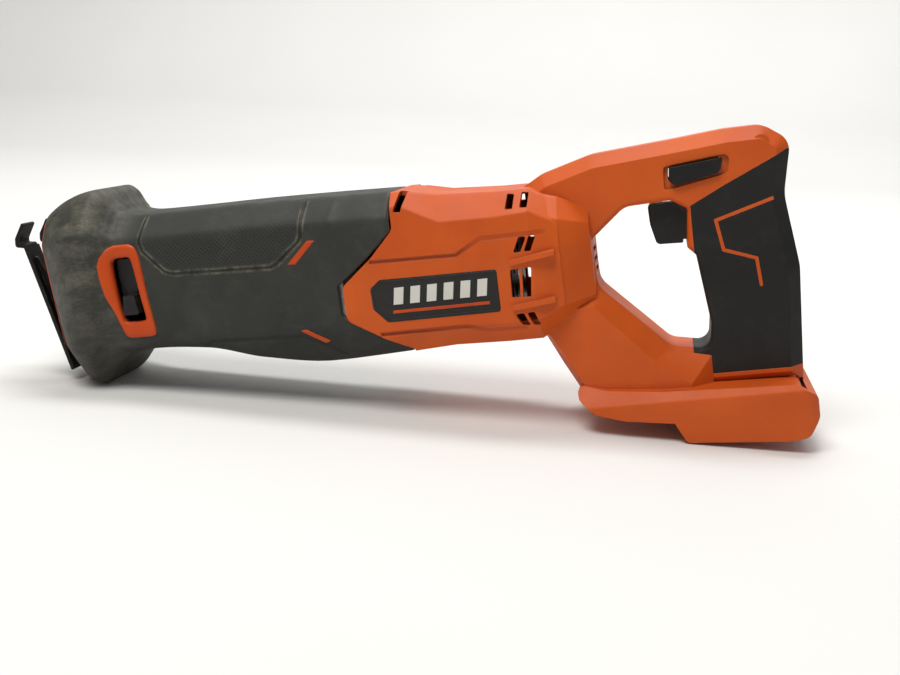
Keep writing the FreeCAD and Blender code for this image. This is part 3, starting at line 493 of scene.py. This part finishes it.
def flash(quad, hand, base):
    """One flash with rounded long edges, laid on the boot; base numbers its first corner."""
    profile = ((0, 0.9), (0, -0.25), (0.12, -0.5), (0.5, -0.55), (0.88, -0.5), (1, -0.25), (1, 0.9))
    rows, n = 25, len(profile)
    a, b, c, d = (Vector(p) for p in quad)
    verts, faces = [], []
    for i in range(rows):
        share_along = i / (rows - 1.0)
        left, right = a.lerp(d, share_along), b.lerp(c, share_along)
        for share, sink in profile:
            p = left.lerp(right, share)
            if i in (0, rows - 1):
                sink = max(sink, 0.0)
            verts.append((p.x, hand * (side_y(p.x, p.y) + sink), p.y))
    for i in range(rows - 1):
        row = base + i * n
        faces += [(row + k, row + (k + 1) % n, row + n + (k + 1) % n, row + n + k) for k in range(n)]
    faces += [tuple(base + k for k in range(n)), tuple(base + (rows - 1) * n + k for k in range(n))]
    return verts, faces


def flashes():
    high = [(18.4, 16.6), (23.0, 16.0), (9.2, 3.1), (4.4, 3.6)]
    low = [(6.4, -36.9), (10.0, -36.5), (23.0, -45.2), (19.8, -47.0)]
    verts, faces = [], []
    for quad in (high, low):
        for hand in (1, -1):
            more_verts, more_faces = flash(quad, hand, len(verts))
            verts += more_verts
            faces += more_faces
    return verts, faces


trim = moulded("moulded nylon trim, orange", "#CC4C10", "#B43E0C", "#E08A58", "#7A5A44", 0.35, 0.04, 0.48,
               dustiness=0.5, rubbed=0.4)
surround = build("window_surround", *window_frame(), trim, slot="orange_trim")
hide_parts("boot_window_frame")
accents = build("boot_flashes", *flashes(), trim, slot="orange_trim")
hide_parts("boot_accents")
wear(trim, "boot_front_ring")

# ---------------------------------------------------------------- motor housing and handle
# Two moulded half shells of orange glass-filled nylon, screwed together from the right, with
# a moulding step above and below the badge, drawn in the material as a bump with a band of painted shade.
STEP_HIGH = [(54.9, -0.3), (106.5, -1.5), (121.4, 6.5), (157.9, 6.4)]
STEP_LOW = [(56.2, -43.7), (107.9, -43.6), (120.9, -47.5), (141.7, -48.3)]
orange = moulded("moulded glass-filled nylon, orange", "#CF5915", "#C04D10", "#E08F5C", "#8A6040",
                 0.35, 0.05, 0.50, dustiness=0.35, rubbed=0.35, steps=(STEP_HIGH, STEP_LOW))
wear(orange, "housing_left", "housing_right")

# ---------------------------------------------------------------- grip
# Soft thermoplastic rubber moulded over both sides of the handle, dark and slightly polished
# by hands, parted by a thin orange line of the shell.
grip = moulded("grip overmould, thermoplastic rubber", "#1F1E1C", "#181716", "#45423C", "#545045",
               0.5, 0.06, 0.58, dustiness=0.35, rubbed=0.3)
wear(grip, "grip_skin_left", "grip_skin_right")

# ---------------------------------------------------------------- badges
# A dark moulded plate in a seat on each side, with plain generic marks: slanted pale blocks
# over a thin orange rule. The marks are thin moulded inlays held in the plate.


def plates(shapes, y0, y1):
    """Flat plates through the side, one per closed outline, drawn on both sides."""
    verts, faces = [], []
    for corners in shapes:
        for hand in (1, -1):
            base, n = len(verts), len(corners)
            verts += [(x, hand * y, z) for y in (y0, y1) for x, z in corners]
            faces += [tuple(range(base, base + n)), tuple(range(base + n, base + 2 * n))]
            faces += [(base + k, base + (k + 1) % n, base + n + (k + 1) % n, base + n + k) for k in range(n)]
    return verts, faces


BADGE_OUT = [(59.9, -11.8), (53.6, -16.4), (54.0, -28.0), (61.6, -36.2), (128.6, -36.2), (128.7, -12.5)]
BADGE_IN = [(60.3, -12.9), (54.8, -16.9), (55.1, -27.6), (62.1, -35.1), (127.5, -35.1), (127.6, -13.6)]
BLOCKS = [[(x + 1.6, -16.6), (x + 7.4, -16.6), (x + 5.8, -26.6), (x, -26.6)]
          for x in (66, 76, 86, 96, 106, 116)]
RULE = [[(65.4, -30.0), (123.2, -30.0), (122.9, -31.8), (65.1, -31.8)]]
BORDER = [[BADGE_OUT[k - 1], BADGE_OUT[k], BADGE_IN[k], BADGE_IN[k - 1]] for k in range(6)]
INSET_Y = -42.7

plate = moulded("moulded badge plate, dark", "#262523", "#1F1E1D", "#4A4844", "#5C574D", 0.4, 0.02, 0.4,
                dustiness=0.3, rubbed=0.3)
wear(plate, "badge_left", "badge_right")
chalk = moulded("moulded inlay, off-white", "#D9D7D0", "#CBC8BF", "#E8E6E0", "#948E7E", 0.3, 0.02, 0.5,
                dustiness=0.25, rubbed=0.2, radius_mm=0.3)
build("badge_blocks", *plates(BLOCKS, -43.35, INSET_Y), chalk, slot="badge_plastic", smooth=False)
build("badge_rule", *plates(RULE, -43.3, INSET_Y), trim, slot="orange_trim", smooth=False)
build("badge_border", *plates(BORDER, -43.4, INSET_Y), plate, slot="badge_plastic", smooth=False)

# ---------------------------------------------------------------- black mouldings
# Trigger, lock-off bar and release lever, with the plastic parts of the motor and switch.
# Black nylon, rubbed at the edges that fingers touch.
black = moulded("moulded nylon, black", "#161616", "#1D1C1B", "#4A4947", "#5E594E", 0.3, 0.05, 0.42,
                dustiness=0.35, rubbed=0.35)
wear(black, "trigger", "lock_off_bar", "release_lever", "motor_fan", "motor_end_cap", "brush_card",
     "switch_module", "terminal_block")

# ---------------------------------------------------------------- shoe and blade clamp
# Pressed steel shoe pinned to a bracket, and the collar that turns on the blade clamp. Black
# oxide steel, rubbed bright at the edges.


def metal(name, base, deep, grain, rough, metallic=1.0, stain="#4A4038", **plain):
    """Machined or formed metal: grain drawn along one direction, stains, painted shade in the hollows and
    bright edges.
    """
    mat, spot = start(name)
    soft, edge = worn(mat, spot, 0.3)
    stretched = add(mat, "Mapping", {"Vector": spot, "Scale": grain}).outputs["Vector"]
    lines = noise(mat, stretched, 0.8, 3.0, 0.6)
    colour = blend(mat, lines, tint(base), tint(deep))
    blot = ramp(mat, noise(mat, spot, 7.0, 6.0, 0.7), 0.55, 0.75, 0.0, 0.6)
    colour = blend(mat, blot, colour, tint(stain))
    # Painted shade: the hollows are darkened nearly to black.
    colour = blend(mat, hollows(mat, spot, 5.0, 60.0), colour, tint("#14120F"))
    colour = blend(mat, times(mat, edge, 0.7), colour, tint("#B9B6AE"))
    normal = add(mat, "Bump", {"Height": lines, "Distance": 0.00005, "Strength": 0.5,
                               "Normal": soft}).outputs["Normal"]
    gloss = ramp(mat, times(mat, lines, blot, "ADD"), 0.2, 1.1, rough - 0.08, rough + 0.2)
    return close(mat, colour, gloss, normal, Metallic=metallic, **plain)


PLAIN = (1.0, 1.0, 1.0)
dark_steel = metal("stamped steel, black oxide", "#1B1A19", "#262423", (6.0, 1.0, 1.0), 0.5, 0.7,
                   "#3A332B")
wear(dark_steel, "shoe", "shoe_bracket", "clamp_collar")

# ---------------------------------------------------------------- drive and fasteners
# Plunger, crank gear, shafts, bearings and springs in ground steel; screws, bolts, shoe pin
# and motor can in zinc-plated steel.
bright = metal("ground steel", "#9C9C98", "#7C7C79", (1.0, 8.0, 8.0), 0.3)
wear(bright, "plunger", "crank_pin", "crank_roller", "crank_gear", "crank_shaft", "crank_bearings",
     "motor_pinion", "motor_shaft", "motor_front_bearing", "motor_rear_bearing", "blade_clamp_body",
     "clamp_retaining_ring", "clamp_spring", "clamp_pin", "trigger_spring", "brush_springs")
plated = metal("zinc-plated steel", "#B4B3AB", "#8F8E86", PLAIN, 0.34)
wear(plated, "gear_case_bolts", "housing_screws", "bracket_screws", "shoe_pivot_pin", "motor_can")

# ---------------------------------------------------------------- gear case
# Pressure-cast aluminium case and cover, bolted together; the cover's rim shows in the gap
# behind the boot and is black with grease. Sintered bronze guides are pressed in.
cast = metal("pressure-cast aluminium", "#A9A9A6", "#8B8B88", PLAIN, 0.46)
wear(cast, "gear_case")
greased = metal("pressure-cast aluminium, grimy with grease", "#2B2927", "#1E1C1A", PLAIN, 0.6, 0.5,
                "#14120F")
wear(greased, "gear_case_cover")
bronze = metal("sintered bronze", "#9A7440", "#7C5B31", PLAIN, 0.45)
wear(bronze, "plunger_front_bush", "plunger_rear_bush")

# ---------------------------------------------------------------- motor, wiring, seal and wiper
# Copper windings, bars and contacts, iron core and ferrite magnets, carbon brushes, silicone
# leads, and the nitrile seal and felt wiper on the plunger.
copper = metal("enamelled copper", "#A85A30", "#86431F", (1.0, 12.0, 12.0), 0.32)
wear(copper, "armature_windings", "commutator", "battery_contacts")
iron = metal("laminated iron and ferrite", "#4A4A4B", "#363637", (14.0, 1.0, 1.0), 0.55, 0.8)
wear(iron, "armature_core", "motor_magnets")
carbon = moulded("pressed carbon", "#202020", "#161616", "#3C3C3C", "#3A3733", 0.2, 0.03, 0.6)
wear(carbon, "motor_brushes")
nitrile = moulded("nitrile rubber", "#1B1B1B", "#141414", "#3A3A38", "#5A564C", 0.3, 0.03, 0.6)
wear(nitrile, "plunger_seal")
jacket = moulded("silicone lead jacket, red", "#7A1712", "#651210", "#9A4038", "#5E4A40", 0.4, 0.02, 0.5)
wear(jacket, "motor_leads", "battery_leads")
felt = moulded("pressed wool felt", "#8A8578", "#757063", "#A39E90", "#5E594C", 0.6, 0.3, 0.95)
wear(felt, "felt_wiper")

# ---------------------------------------------------------------- floor, light and camera
# Plain pale floor that sweeps up behind the tool, a soft studio light from above and in front,
# a weak one from behind and a wash over the sweep. The camera looks at the left side.
floor_mesh = bpy.data.meshes.new("floor")
sweep = [(-3.0, 0.0), (2.2, 0.0), (2.9, 0.12), (3.4, 0.5), (3.7, 1.2), (3.8, 2.4), (3.8, 5.0)]
floor_mesh.from_pydata([(x, y, z) for y, z in sweep for x in (-9, 9)], [],
                       [(2 * k, 2 * k + 1, 2 * k + 3, 2 * k + 2) for k in range(len(sweep) - 1)])
for poly in floor_mesh.polygons:
    poly.use_smooth = True
floor = bpy.data.objects.new("floor", floor_mesh)
bpy.context.scene.collection.objects.link(floor)
pale, spot = start("pale matt floor")
close(pale, blend(pale, noise(pale, spot, 400.0), tint("#E4E3E0"), tint("#DEDDDA")), 0.85,
      add(pale, "NewGeometry").outputs["Normal"])
floor_mesh.materials.append(pale)


def lamp(name, where, aim, size, power, colour):
    data = bpy.data.lights.new(name, "AREA")
    data.shape, data.size, data.energy = "DISK", size, power
    data.color = colour
    obj = bpy.data.objects.new(name, data)
    obj.location = where
    obj.rotation_euler = (Vector(aim) - Vector(where)).to_track_quat("-Z", "Y").to_euler()
    bpy.context.scene.collection.objects.link(obj)


lamp("key", (-0.25, -0.75, 1.5), (0, 0, 0.08), 0.9, 19.0, (1.0, 0.98, 0.95))
lamp("rim", (0.3, 0.9, 1.4), (0, 0, 0.1), 1.2, 5.0, (0.96, 0.98, 1.0))
lamp("backdrop wash", (0.0, 0.9, 3.2), (0, 4.2, 0.6), 2.2, 130.0, (1.0, 1.0, 1.0))
world = bpy.data.worlds.new("studio")
world.use_nodes = True
world.node_tree.nodes["Background"].inputs[0].default_value = (0.93, 0.94, 0.95, 1.0)
world.node_tree.nodes["Background"].inputs[1].default_value = 0.24
bpy.context.scene.world = world
bpy.context.scene.view_settings.view_transform = "Standard"

camera = bpy.data.objects.new("camera", bpy.data.cameras.new("camera"))
camera.data.lens, camera.data.sensor_width = 48.0, 36.0
camera.location = (0.15134, -0.72292, 0.19714)
camera.rotation_euler = tuple(math.radians(a) for a in (78.152, -2.557, 10.135))
camera.data.clip_start = 0.02
bpy.context.scene.collection.objects.link(camera)
bpy.context.scene.camera = camera
